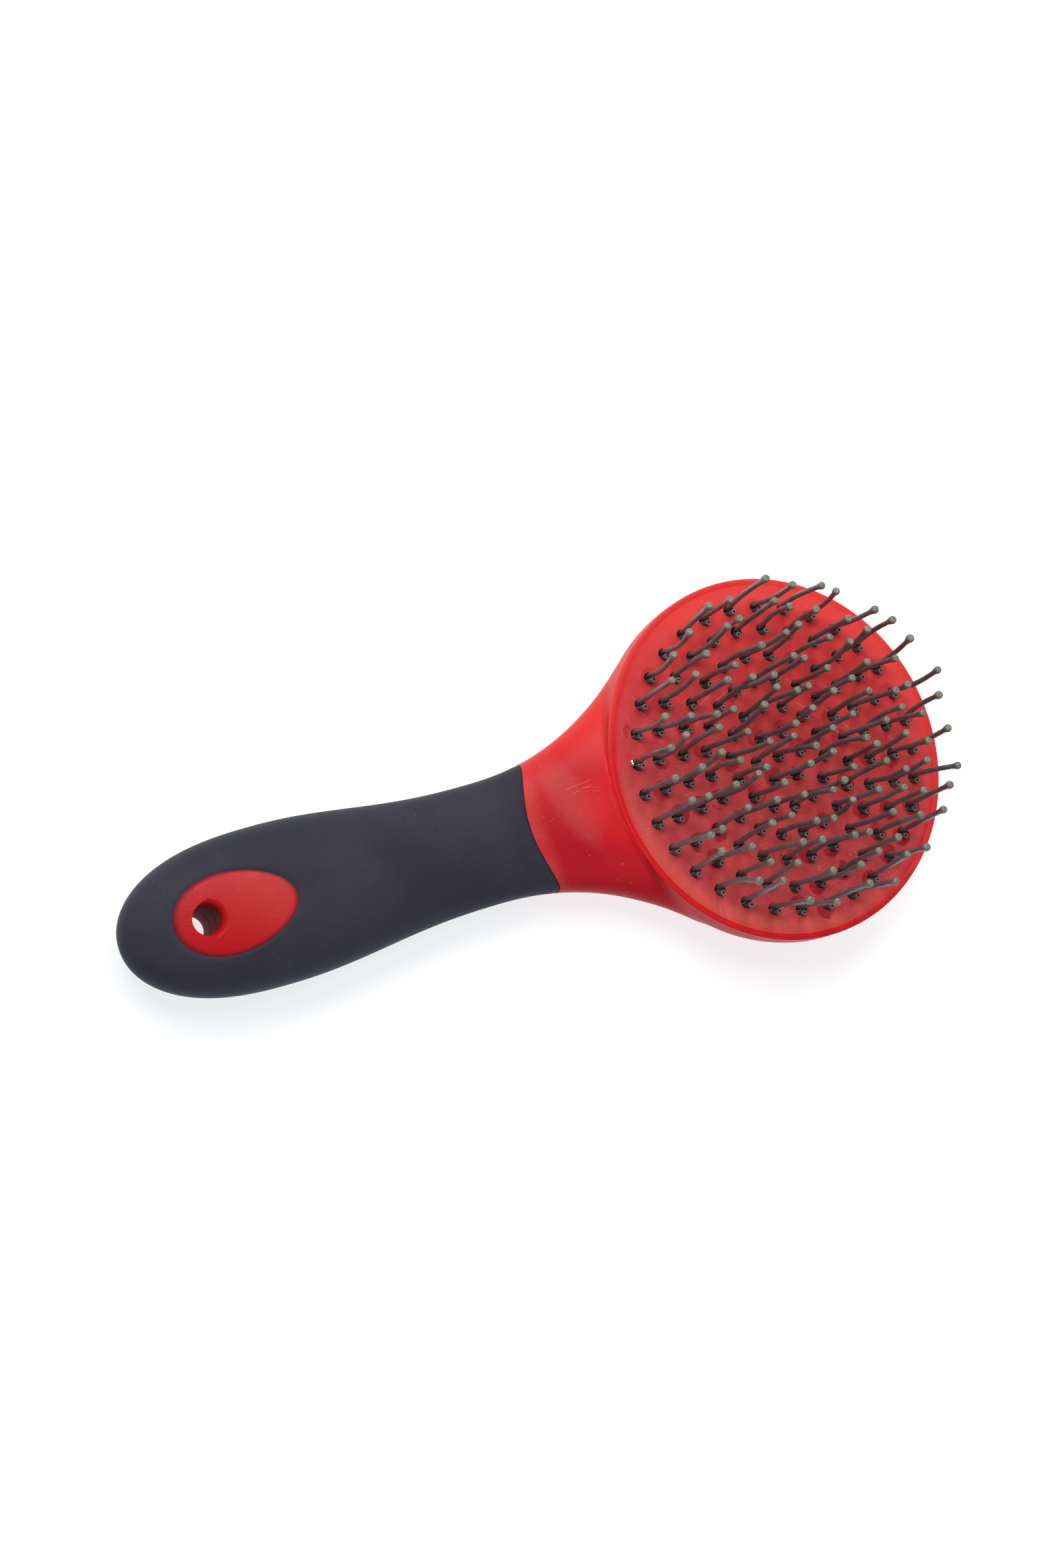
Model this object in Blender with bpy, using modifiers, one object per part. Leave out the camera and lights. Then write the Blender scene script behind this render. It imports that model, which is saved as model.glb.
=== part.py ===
"""Round mane and hair brush with a soft grip: red plastic body, drilled face plate, ball-tipped filaments.

Metres. The origin is the centre of the flat back of the head. +Z points out of the bristle face, and the
handle runs towards -X.
"""

import math
import random

import bmesh
import bpy
from mathutils import Vector

# ---------------------------------------------------------------- head
HEAD_RADIUS = 0.0425
HEAD_DEPTH = 0.0160
HEAD_EDGE_RADIUS = 0.0006  # rounding of the rim
HEAD_WALL_HEIGHT = 0.0040  # straight wall under the face, above the curved back
BACK_CURVE_WIDTH = 0.0185  # from the wall in to the flat of the back
FLOOR_THICKNESS = 0.0032
RIM_BAND = 0.0014  # width of the rim around the face plate
LEDGE_WIDTH = 0.0029  # ledge that carries the face plate
HOLLOW_SHOULDER_DROP = 0.0020  # the hollow keeps its full width for this depth under the ledge
HOLLOW_FLOOR_INSET = 0.0115  # from the head's side to the edge of the hollow's floor
PLATE_THICKNESS = 0.0032
CLEARANCE = 0.0003  # between pieces that touch

# ---------------------------------------------------------------- handle
HANDLE_LENGTH = 0.1158  # from the head's side to the end of the handle
NECK_LENGTH = 0.0325  # from the head's side to the waist
BUTT_LENGTH = 0.0353  # from the belly to the end of the handle
FLARE_ANGLE = math.radians(49.7)  # where the neck's sides meet the head, from the handle's axis
LOFT_START_REACH = 0.0120  # buried end of the neck, from the head's centre
BELLY_HALF_WIDTH = 0.01715
WAIST_HALF_WIDTH = 0.0136
FLARE_POWER = 2.3
SWELL_POWER = 1.25  # above 1 the handle widens later on its way to the belly
FLARE_SETBACK = 0.0008  # how far inside the head's circle the neck's sides meet it
NECK_SETBACK = 0.0015  # how far the buried part stays inside the head's circle
BELLY_THICKNESS = 0.0192
WAIST_THICKNESS = 0.0140
BELLY_LIFT = 0.0002  # height of the belly's underside above the flat back
WAIST_LIFT = 0.0016
NECK_TOP_DROP = 0.0005  # the neck meets the head this far under the face
NECK_BACK_RISE = 0.0009  # and this far above the flat back
NECK_SADDLE = 0.0011  # depth of the dip along the top of the neck
BUTT_WIDTH_POWER = 2.6
BUTT_THICKNESS_POWER = 2.6
SECTION_POWER = 2.35  # 2 is an ellipse, more is squarer
SECTION_POINTS = 16
STATION_STEP = 0.0060
BUTT_STATIONS = (0, 0.25, 0.45, 0.62, 0.76, 0.87, 0.94, 0.985)  # shares of the butt's length
BUTT_REACH = HEAD_RADIUS + HANDLE_LENGTH
BELLY_REACH = BUTT_REACH - BUTT_LENGTH
WAIST_REACH = HEAD_RADIUS + NECK_LENGTH
FLARE_REACH = HEAD_RADIUS * math.cos(FLARE_ANGLE)
FLARE_HALF_WIDTH = HEAD_RADIUS * math.sin(FLARE_ANGLE) - FLARE_SETBACK
WAIST_MID_HEIGHT = WAIST_LIFT + WAIST_THICKNESS / 2
BELLY_MID_HEIGHT = BELLY_LIFT + BELLY_THICKNESS / 2

# ---------------------------------------------------------------- grip and hang hole
GRIP_WALL = 0.0022
GRIP_FRONT_GAP = 0.0172  # from the head's side to the grip's front edge at mid height
GRIP_NOSE_LENGTH = 0.0107  # along the handle, from the front edge's tip to its straight part
GRIP_NOSE_MARGIN = 0.0006  # height of the nose beyond half the waist's thickness
GRIP_NOSE_POINTS = 15
CORE_LEAD = 0.0100  # the core begins this far inside the red neck
WINDOW_FROM_BUTT = 0.0237
WINDOW_HALF_LENGTH = 0.0134
WINDOW_HALF_WIDTH = 0.0088
HANG_HOLE_FROM_BUTT = 0.0173
HANG_HOLE_RADIUS = 0.0031
GRIP_FRONT_REACH = HEAD_RADIUS + GRIP_FRONT_GAP
CORE_START_REACH = GRIP_FRONT_REACH - CORE_LEAD
WINDOW_REACH = BUTT_REACH - WINDOW_FROM_BUTT
HANG_HOLE_REACH = BUTT_REACH - HANG_HOLE_FROM_BUTT
CUT_MARGIN = 0.0100  # a cutter runs this far past what it cuts
CUT_SPAN = (-CUT_MARGIN, BELLY_LIFT + BELLY_THICKNESS + CUT_MARGIN)
CORE_SPACE_LEAD = 0.0040  # the space for the core starts this far ahead of it

# ---------------------------------------------------------------- filaments
FACE_BORDER = 0.0069  # from the head's side to the outer ring of tufts
OUTER_RING_RADIUS = HEAD_RADIUS - FACE_BORDER
# (ring radius as a share of the outer ring's, number of tufts, phase in steps from the handle's side)
RINGS = [
    (1.0, 32, 0.0),
    (0.851, 28, 0.0),
    (0.676, 24, 0.0),
    (0.511, 20, 0.0),
    (0.337, 14, 0.5),
    (0.167, 6, 0.0),
    (0.0, 1, 0.0),
]
TUFTS_PER_STRIP = 4
LEG_RADIUS = 0.00062
LEG_GAP = 0.00016  # between a folded filament's two legs
LEG_SPACING = 2 * LEG_RADIUS + LEG_GAP
HOLE_MARGIN = 0.00028  # round the pair of legs, at the hole's corners
HOLE_RADIUS = LEG_SPACING / 2 + LEG_RADIUS + HOLE_MARGIN
HOLE_SIDES = 6
TIP_RADIUS = 0.00098
TIP_LENGTH = 0.0026
TIP_END_RADIUS = 0.00045
TIP_WIDEST = 0.8  # from the tip's end to its widest point, in tip radii
FILAMENT_HEIGHT = 0.0185  # above the face
STUB_HEIGHT = 0.0017
LEG_STRAIGHT = 0.0006  # a leg stands straight for this far above the face
LEAN_LARGEST = 0.0018  # sideways at the tip
LEAN_SEED = 7
ROOT_RADIUS = 0.0009  # strand that joins the folds of a strip behind the plate
ROOT_OVERRUN = 0.0005  # the strand runs this far past its last folds

for leftover in list(bpy.data.objects):
    bpy.data.objects.remove(leftover, do_unlink=True)


def new_collection(name, hidden=False):
    collection = bpy.data.collections.new(name)
    bpy.context.scene.collection.children.link(collection)
    collection.hide_render = hidden
    return collection


PARTS = new_collection("round_brush")
CUTTERS = new_collection("cutters", hidden=True)


def new_material(name, color, roughness, metallic=0.0):
    material = bpy.data.materials.new(name)
    material.use_nodes = True
    shader = material.node_tree.nodes["Principled BSDF"]
    shader.inputs["Base Color"].default_value = (*color, 1.0)
    shader.inputs["Roughness"].default_value = roughness
    shader.inputs["Metallic"].default_value = metallic
    return material


RED_PLASTIC = new_material("red_plastic", (0.60, 0.022, 0.028), 0.32)
RED_FACE = new_material("red_face", (0.50, 0.045, 0.050), 0.45)
NAVY_RUBBER = new_material("navy_rubber", (0.030, 0.032, 0.054), 0.75)
GREY_NYLON = new_material("grey_nylon", (0.085, 0.070, 0.068), 0.40)


def place(name, mesh, material=None):
    """A part when it has a material, otherwise a cutter."""
    piece = bpy.data.objects.new(name, mesh)
    if material is None:
        CUTTERS.objects.link(piece)
        piece.hide_render = True
        piece.display_type = "WIRE"
        return piece
    PARTS.objects.link(piece)
    mesh.materials.append(material)
    mesh.shade_smooth()
    mesh.set_sharp_from_angle(angle=math.radians(35))
    return piece


def boolean(piece, operation, other):
    modifier = piece.modifiers.new(f"{operation.lower()}_{other.name}", "BOOLEAN")
    modifier.operation = operation
    modifier.object = other


def turned(name, profile, steps):
    """A solid turned about Z. The profile is (radius, height) pairs down the outer side, ends on the axis."""
    mesh = bpy.data.meshes.new(name)
    points = [(radius, 0.0, height) for radius, height in profile]
    edges = [(i, i + 1) for i in range(len(points) - 1)]
    mesh.from_pydata(points, edges, [])
    piece = place(name, mesh)
    screw = piece.modifiers.new("turn", "SCREW")
    screw.steps = steps
    screw.render_steps = steps
    screw.use_merge_vertices = True
    screw.merge_threshold = 0.00001
    return piece


def arc(center, radii, start, end, count):
    """Points of an elliptical arc, angles in degrees."""
    points = []
    for i in range(count + 1):
        angle = math.radians(start + (end - start) * i / count)
        points.append((center[0] + radii[0] * math.cos(angle), center[1] + radii[1] * math.sin(angle)))
    return points


def evaluated_mesh(piece):
    """The piece's mesh with its modifiers or its bevel, welded where a curve's caps meet its sides."""
    bpy.context.view_layer.update()
    graph = bpy.context.evaluated_depsgraph_get()
    mesh = bpy.data.meshes.new_from_object(piece.evaluated_get(graph))
    shape = bmesh.new()
    shape.from_mesh(mesh)
    bmesh.ops.remove_doubles(shape, verts=shape.verts, dist=0.000001)
    bmesh.ops.recalc_face_normals(shape, faces=shape.faces)
    shape.to_mesh(mesh)
    shape.free()
    return mesh


def baked(name, source):
    """Replaces a curve or a modified cutter with a plain mesh cutter."""
    mesh = evaluated_mesh(source)
    matrix = source.matrix_world.copy()
    bpy.data.objects.remove(source, do_unlink=True)
    piece = place(name, mesh)
    piece.matrix_world = matrix
    return piece


# ---------------------------------------------------------------- handle shape


def ease(share):
    share = min(max(share, 0.0), 1.0)
    return 0.5 - 0.5 * math.cos(math.pi * share)


def mix(first, second, share):
    return first + (second - first) * share


def half_width(reach):
    if reach < FLARE_REACH:
        return math.sqrt((HEAD_RADIUS - NECK_SETBACK) ** 2 - reach**2)
    if reach < WAIST_REACH:
        share = (WAIST_REACH - reach) / (WAIST_REACH - FLARE_REACH)
        return mix(WAIST_HALF_WIDTH, FLARE_HALF_WIDTH, share**FLARE_POWER)
    share = ease((reach - WAIST_REACH) / (BELLY_REACH - WAIST_REACH))
    return mix(WAIST_HALF_WIDTH, BELLY_HALF_WIDTH, share**SWELL_POWER)


def bottom_and_top(reach):
    if reach < WAIST_REACH:
        share = (WAIST_REACH - reach) / NECK_LENGTH
        saddle = NECK_SADDLE * math.sin(math.pi * min(share, 1.0)) ** 2
        waist_bottom = WAIST_MID_HEIGHT - WAIST_THICKNESS / 2
        waist_top = WAIST_MID_HEIGHT + WAIST_THICKNESS / 2
        bottom = mix(waist_bottom, NECK_BACK_RISE, ease(share))
        top = mix(waist_top, HEAD_DEPTH - NECK_TOP_DROP, ease(share)) - saddle
        return bottom, top
    share = ease((reach - WAIST_REACH) / (BELLY_REACH - WAIST_REACH))
    middle = mix(WAIST_MID_HEIGHT, BELLY_MID_HEIGHT, share)
    half = mix(WAIST_THICKNESS, BELLY_THICKNESS, share) / 2
    return middle - half, middle + half


def section(reach, inset):
    """Half width, middle height and half thickness of the handle, each face moved in by the inset."""
    butt = BUTT_REACH - inset
    width = half_width(min(reach, BELLY_REACH)) - inset
    bottom, top = bottom_and_top(min(reach, BELLY_REACH))
    half = (top - bottom) / 2 - inset
    if reach > BELLY_REACH:
        share = (reach - BELLY_REACH) / (butt - BELLY_REACH)
        width *= math.sqrt(1 - share**BUTT_WIDTH_POWER)
        half *= math.sqrt(1 - share**BUTT_THICKNESS_POWER)
    return width, (top + bottom) / 2, half


def loft_stations(start, inset):
    butt = BUTT_REACH - inset
    stations = [start, (start + FLARE_REACH) / 2] if start < FLARE_REACH else []
    first = max(start, FLARE_REACH)
    neck_count = max(2, round((WAIST_REACH - first) / STATION_STEP))
    stations += [mix(first, WAIST_REACH, i / neck_count) for i in range(neck_count)]
    stations += [mix(WAIST_REACH, BELLY_REACH, i / 5) for i in range(5)]
    stations += [mix(BELLY_REACH, butt, share) for share in BUTT_STATIONS]
    return stations


def handle_loft(name, start, inset):
    """Rings across the handle, bridged into one closed solid."""
    shape = bmesh.new()
    edges = []
    for reach in loft_stations(start, inset):
        width, middle, half = section(reach, inset)
        ring = bmesh.ops.create_circle(shape, segments=SECTION_POINTS, radius=1.0)["verts"]
        for vertex in ring:
            angle = math.atan2(vertex.co.y, vertex.co.x)
            side = math.copysign(abs(math.cos(angle)) ** (2 / SECTION_POWER), math.cos(angle))
            rise = math.copysign(abs(math.sin(angle)) ** (2 / SECTION_POWER), math.sin(angle))
            vertex.co = Vector((-reach, width * side, middle + half * rise))
        edges.append([edge for edge in shape.edges if edge.verts[0] in ring and edge.verts[1] in ring])
    for first, second in zip(edges, edges[1:]):
        bmesh.ops.bridge_loops(shape, edges=first + second)
    bmesh.ops.contextual_create(shape, geom=edges[0])
    bmesh.ops.contextual_create(shape, geom=edges[-1])
    bmesh.ops.recalc_face_normals(shape, faces=shape.faces)
    mesh = bpy.data.meshes.new(name)
    shape.to_mesh(mesh)
    shape.free()
    return place(name, mesh)


def prism(name, outline, low, high):
    """A solid with a flat outline, a list of (x, y), extruded from low to high."""
    curve = bpy.data.curves.new(name, "CURVE")
    curve.dimensions = "2D"
    curve.fill_mode = "BOTH"
    curve.extrude = (high - low) / 2
    for loop in outline:
        spline = curve.splines.new("POLY")
        spline.points.add(len(loop) - 1)
        for point, (x, y) in zip(spline.points, loop):
            point.co = (x, y, 0.0, 1.0)
        spline.use_cyclic_u = True
    source = bpy.data.objects.new(name, curve)
    CUTTERS.objects.link(source)
    source.location = (0.0, 0.0, (low + high) / 2)
    piece = baked(name + "_solid", source)
    piece.data.transform(piece.matrix_world)
    piece.matrix_world.identity()
    return piece


def oval(center_x, half_length, half_width_, count):
    points = []
    for i in range(count):
        angle = 2 * math.pi * i / count
        points.append((center_x + half_length * math.cos(angle), half_width_ * math.sin(angle)))
    return points


def grip_zone(name, growth):
    """Everything behind the grip's front edge. Seen from the side, that edge is a round nose."""
    center = -(GRIP_FRONT_REACH + GRIP_NOSE_LENGTH)
    radii = (GRIP_NOSE_LENGTH + growth, WAIST_THICKNESS / 2 + GRIP_NOSE_MARGIN + growth)
    far = -(BUTT_REACH + CUT_MARGIN)
    tall = BELLY_THICKNESS
    nose = arc((center, 0.0), radii, -90, 90, GRIP_NOSE_POINTS - 1)
    outline = [(far, -tall), (center, -tall)] + nose + [(center, tall), (far, tall)]
    piece = prism(name, [outline], -HEAD_RADIUS, HEAD_RADIUS)
    # The outline was drawn flat: stand it up, so that its second direction is the handle's thickness.
    for vertex in piece.data.vertices:
        x, height, side = vertex.co
        vertex.co = (x, -side, height + WAIST_MID_HEIGHT)
    return piece


# ---------------------------------------------------------------- body


def head_profile():
    top = HEAD_DEPTH
    edge = HEAD_EDGE_RADIUS
    points = [(0.0, top)]
    points += arc((HEAD_RADIUS - edge, top - edge), (edge, edge), 90, 0, 3)
    wall_base = HEAD_DEPTH - HEAD_WALL_HEIGHT
    points += arc((HEAD_RADIUS - BACK_CURVE_WIDTH, wall_base), (BACK_CURVE_WIDTH, wall_base), 0, -90, 7)
    points.append((0.0, 0.0))
    return points


def hollow_profile():
    recess = HEAD_RADIUS - RIM_BAND
    ledge = recess - LEDGE_WIDTH
    ledge_height = HEAD_DEPTH - PLATE_THICKNESS - CLEARANCE
    shoulder = ledge_height - HOLLOW_SHOULDER_DROP
    above = HEAD_DEPTH + CUT_MARGIN
    return [
        (0.0, above),
        (recess, above),
        (recess, ledge_height),
        (ledge, ledge_height),
        (ledge, shoulder),
        (HEAD_RADIUS - HOLLOW_FLOOR_INSET, FLOOR_THICKNESS),
        (0.0, FLOOR_THICKNESS),
    ]


def make_body():
    """Head bowl, neck, handle core and window boss, moulded in one."""
    neck_solid = handle_loft("neck_stock", LOFT_START_REACH, 0.0)
    boolean(neck_solid, "DIFFERENCE", grip_zone("grip_seat", CLEARANCE))
    boss = handle_loft("boss_stock", CORE_START_REACH, 0.0)
    window = oval(-WINDOW_REACH, WINDOW_HALF_LENGTH, WINDOW_HALF_WIDTH, 28)
    boolean(boss, "INTERSECT", prism("boss_outline", [window], *CUT_SPAN))
    core = handle_loft("core_stock", CORE_START_REACH, GRIP_WALL + CLEARANCE)
    head = turned("head_stock", head_profile(), 48)
    body = place("handle_body", evaluated_mesh(head), RED_PLASTIC)
    for stock in (neck_solid, core, boss):
        boolean(body, "UNION", stock)
    boolean(body, "DIFFERENCE", turned("hollow", hollow_profile(), 48))
    bore = oval(-HANG_HOLE_REACH, HANG_HOLE_RADIUS, HANG_HOLE_RADIUS, 20)
    boolean(body, "DIFFERENCE", prism("hang_hole", [bore], *CUT_SPAN))
    return body


def make_grip():
    """Soft rubber sleeve over the core, open at its front edge and at the two oval windows."""
    grip = place("soft_grip", handle_loft("grip_stock", CORE_START_REACH, 0.0).data, NAVY_RUBBER)
    boolean(grip, "INTERSECT", grip_zone("grip_extent", 0.0))
    boolean(grip, "DIFFERENCE", handle_loft("core_space", CORE_START_REACH - CORE_SPACE_LEAD, GRIP_WALL))
    grown = oval(-WINDOW_REACH, WINDOW_HALF_LENGTH + CLEARANCE, WINDOW_HALF_WIDTH + CLEARANCE, 28)
    boolean(grip, "DIFFERENCE", prism("window", [grown], *CUT_SPAN))
    return grip


# ---------------------------------------------------------------- face plate and filaments


def tuft_places():
    """(ring number, x, y) of each tuft, counted round from the handle's side."""
    for number, (share, count, phase) in enumerate(RINGS):
        radius = OUTER_RING_RADIUS * share
        for i in range(count):
            angle = math.pi + 2 * math.pi * (i + phase) / count
            yield number, radius * math.cos(angle), radius * math.sin(angle)


def make_face_plate():
    loops = [oval(0.0, HEAD_RADIUS - RIM_BAND - CLEARANCE, HEAD_RADIUS - RIM_BAND - CLEARANCE, 64)]
    for _, x, y in tuft_places():
        hole = []
        for i in range(HOLE_SIDES):
            angle = 2 * math.pi * (i + 0.5) / HOLE_SIDES
            hole.append((x + HOLE_RADIUS * math.cos(angle), y + HOLE_RADIUS * math.sin(angle)))
        loops.append(hole)
    drilled = prism("plate_stock", loops, HEAD_DEPTH - PLATE_THICKNESS, HEAD_DEPTH)
    plate = place("face_plate", drilled.data, RED_FACE)
    bpy.data.objects.remove(drilled, do_unlink=True)
    return plate


def wire_mesh(name, depth, splines):
    """A mesh of four-sided wires. Each spline is a list of (point, share of the depth)."""
    curve = bpy.data.curves.new(name, "CURVE")
    curve.dimensions = "3D"
    curve.bevel_depth = depth
    curve.bevel_resolution = 0
    curve.use_fill_caps = True
    for points in splines:
        spline = curve.splines.new("POLY")
        spline.points.add(len(points) - 1)
        for point, (place_, share) in zip(spline.points, points):
            point.co = (*place_, 1.0)
            point.radius = share
    source = bpy.data.objects.new(name, curve)
    CUTTERS.objects.link(source)
    return baked(name + "_solid", source)


def make_strip(name, places, lean):
    """A few folded filaments of one ring, with the strand that joins their folds behind the plate."""
    face = HEAD_DEPTH
    root_height = face - PLATE_THICKNESS - CLEARANCE - ROOT_RADIUS
    legs = []
    for x, y in places:
        angle = lean.uniform(0, 2 * math.pi)
        reach = LEAN_LARGEST * math.sqrt(lean.random())
        aside = Vector((reach * math.cos(angle), reach * math.sin(angle), 0.0))
        foot = Vector((x, y + LEG_SPACING / 2, 0.0))
        bend = foot + Vector((0, 0, face + LEG_STRAIGHT))
        tip = foot + aside + Vector((0, 0, face + FILAMENT_HEIGHT))
        along = (tip - bend).normalized()
        tip_share = TIP_RADIUS / LEG_RADIUS
        legs.append([
            (foot + Vector((0, 0, root_height)), 1.0),
            (bend, 1.0),
            (tip - along * TIP_LENGTH, 1.0),
            (tip - along * TIP_RADIUS * TIP_WIDEST, tip_share),
            (tip, TIP_END_RADIUS / LEG_RADIUS),
        ])
        stub = Vector((x, y - LEG_SPACING / 2, 0.0))
        legs.append([
            (stub + Vector((0, 0, root_height)), 1.0),
            (stub + Vector((0, 0, face + STUB_HEIGHT)), 1.0),
        ])
    folds = [Vector((x, y, root_height)) for x, y in places]
    run = (folds[-1] - folds[0]).normalized() if len(folds) > 1 else Vector((0, 1, 0))
    ends = [folds[0] - run * ROOT_OVERRUN, folds[-1] + run * ROOT_OVERRUN]
    strand = [(fold, 1.0) for fold in [ends[0], *folds[1:-1], ends[1]]]
    filaments = wire_mesh(name + "_legs", LEG_RADIUS, legs)
    strip = place(name, filaments.data, GREY_NYLON)
    bpy.data.objects.remove(filaments, do_unlink=True)
    boolean(strip, "UNION", wire_mesh(name + "_root", ROOT_RADIUS, [strand]))
    return strip


def make_filaments():
    lean = random.Random(LEAN_SEED)
    for number, (_, count, _) in enumerate(RINGS):
        places = [(x, y) for ring, x, y in tuft_places() if ring == number]
        strips = math.ceil(count / TUFTS_PER_STRIP)
        for i in range(strips):
            group = places[count * i // strips : count * (i + 1) // strips]
            make_strip(f"filaments_ring_{number + 1}_{i + 1}", group, lean)


make_body()
make_grip()
make_face_plate()
make_filaments()
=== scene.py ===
"""Round soft-grip brush: red plastic head and neck, ball-tipped nylon filaments, navy grip."""

import math
import random

import bmesh
import bpy
from mathutils import Matrix, Quaternion, Vector
from mathutils.bvhtree import BVHTree


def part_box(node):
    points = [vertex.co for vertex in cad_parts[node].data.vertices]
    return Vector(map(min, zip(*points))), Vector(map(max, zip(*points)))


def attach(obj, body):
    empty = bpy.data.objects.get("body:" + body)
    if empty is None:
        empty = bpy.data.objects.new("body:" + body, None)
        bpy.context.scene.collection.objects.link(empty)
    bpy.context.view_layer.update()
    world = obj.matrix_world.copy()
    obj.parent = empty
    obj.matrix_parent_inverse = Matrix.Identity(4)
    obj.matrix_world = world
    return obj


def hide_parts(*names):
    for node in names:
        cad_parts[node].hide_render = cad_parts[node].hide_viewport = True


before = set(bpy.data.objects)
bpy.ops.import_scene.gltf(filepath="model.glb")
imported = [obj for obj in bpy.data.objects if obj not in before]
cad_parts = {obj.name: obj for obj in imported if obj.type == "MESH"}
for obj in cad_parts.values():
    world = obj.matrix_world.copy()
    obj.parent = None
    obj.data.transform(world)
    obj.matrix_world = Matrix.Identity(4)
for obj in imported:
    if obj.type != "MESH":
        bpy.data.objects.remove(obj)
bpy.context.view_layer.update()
plate_low, plate_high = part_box("face_plate")
body_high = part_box("handle_body")[1]

# ---------------------------------------------------------------------------------------------
# Stage. A plain pale table with the brush lying on its back. The main soft box stands to one side,
# with a weak one opposite and two more over the head. A close-up lens looks down over the butt.

paper_tone = (0.32, 0.32, 0.317, 1.0)
paper_glow = (0.97, 0.98, 1.0, 1.0)
paper_glow_strength = 0.78
table_half_size = 3.0
table_drop = 0.0003
room_tone = (0.96, 0.98, 1.0, 1.0)
room_strength = 0.24

table = bpy.data.objects.new("table", bpy.data.meshes.new("table"))
surface = bmesh.new()
bmesh.ops.create_grid(surface, x_segments=1, y_segments=1, size=table_half_size)
surface.to_mesh(table.data)
surface.free()
table.location.z = -table_drop
bpy.context.scene.collection.objects.link(table)
paper = bpy.data.materials.new("pale_paper")
paper.use_nodes = True
paper_inputs = paper.node_tree.nodes["Principled BSDF"].inputs
paper_inputs["Base Color"].default_value = paper_tone
paper_inputs["Roughness"].default_value = 0.9
paper_inputs["Emission Color"].default_value = paper_glow
paper_inputs["Emission Strength"].default_value = paper_glow_strength
table.data.materials.append(paper)

room = bpy.data.worlds.new("soft_studio")
room.use_nodes = True
room.node_tree.nodes["Background"].inputs["Color"].default_value = room_tone
room.node_tree.nodes["Background"].inputs["Strength"].default_value = room_strength
bpy.context.scene.world = room
bpy.context.scene.view_settings.view_transform = "Standard"

brush_middle = Vector((-0.05, 0, 0))


def soft_box(name, azimuth, elevation, distance, size, power):
    lamp = bpy.data.lights.new(name, "AREA")
    lamp.shape = "DISK"
    lamp.size = size
    lamp.energy = power
    light = bpy.data.objects.new(name, lamp)
    a, e = math.radians(azimuth), math.radians(elevation)
    toward = Vector((math.cos(a) * math.cos(e), math.sin(a) * math.cos(e), math.sin(e)))
    light.location = brush_middle + toward * distance
    light.rotation_mode = "QUATERNION"
    light.rotation_quaternion = toward.to_track_quat("Z", "Y")
    bpy.context.scene.collection.objects.link(light)


soft_box("key_box", azimuth=118, elevation=56, distance=1.1, size=0.6, power=6.8)
soft_box("fill_box", azimuth=-70, elevation=50, distance=1.3, size=0.9, power=1.2)
soft_box("overhead_box", azimuth=28, elevation=77, distance=0.9, size=0.20, power=0.7)
soft_box("head_box", azimuth=60, elevation=50, distance=0.9, size=0.4, power=2.9)

lens = bpy.data.cameras.new("camera")
lens.lens = 55.2
lens.sensor_width = 36.0
lens.clip_start = 0.01
camera = bpy.data.objects.new("camera", lens)
aim = Vector((-0.0630, 0.0098, 0.0152))
back = Vector((-0.4112, -0.0964, 0.9064)).normalized()
camera_distance = 0.5275
roll = Quaternion((0, 0, 1), math.radians(59.95))
camera.location = aim + back * camera_distance
camera.rotation_mode = "QUATERNION"
camera.rotation_quaternion = (-back).to_track_quat("-Z", "Y") @ roll
bpy.context.scene.collection.objects.link(camera)
bpy.context.scene.camera = camera


# ---------------------------------------------------------------------------------------------
# Head and neck. One injection moulding in red polypropylene: a shallow bowl whose neck sweeps out
# of its back and sides. Satin gloss, rubbed finer along the rim, with a few scratches on the neck.

head_radius = body_high.x
head_depth = plate_high.z
head_steps = 256
head_voxel = 0.00050
blank_allowance = 0.002
wall_base = 0.0120
back_flat_radius = 0.0240
rim_band = 0.0014
rim_bead = 0.00010
rim_round = 0.0006
rim_rise = 0.00025
rim_inner_round = 0.0008
skirt_width = 0.0030
skirt_rise = 0.0003
skirt_height = 0.0186
tool_reach = 0.060
ledge_drop = 0.0003
ledge_width = 0.0029
hollow_radius = 0.0310
hollow_floor = 0.0032
neck_start = 0.0120
neck_end = 0.0850
neck_setback = 0.0015
butt_reach = 0.1583
belly_reach = 0.1230
waist_reach = 0.0750
flare_reach = 0.0275
belly_half_width = 0.01715
waist_half_width = 0.0136
flare_growth = 0.0180
flare_power = 2.3
swell_power = 1.25
butt_power = 2.6
belly_thickness = 0.0192
waist_thickness = 0.0140
belly_mid = 0.0098
waist_mid = 0.0086
neck_top_drop = 0.0001
neck_back_rise = 0.0009
neck_saddle = 0.0011
section_power = 2.35
grip_front_reach = 0.0597
grip_nose_length = 0.0107
grip_nose_height = waist_thickness / 2 + 0.0006
grip_seat_gap = 0.00004
fillet_core = 0.0016
fillet_fade = 0.0040
fillet_passes = 24
last_passes = 2
fillet_top = 0.0120
fillet_top_fade = 0.0022


def ease(share):
    return 0.5 - 0.5 * math.cos(math.pi * min(max(share, 0.0), 1.0))


def mix(first, second, share):
    return first + (second - first) * share


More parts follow.
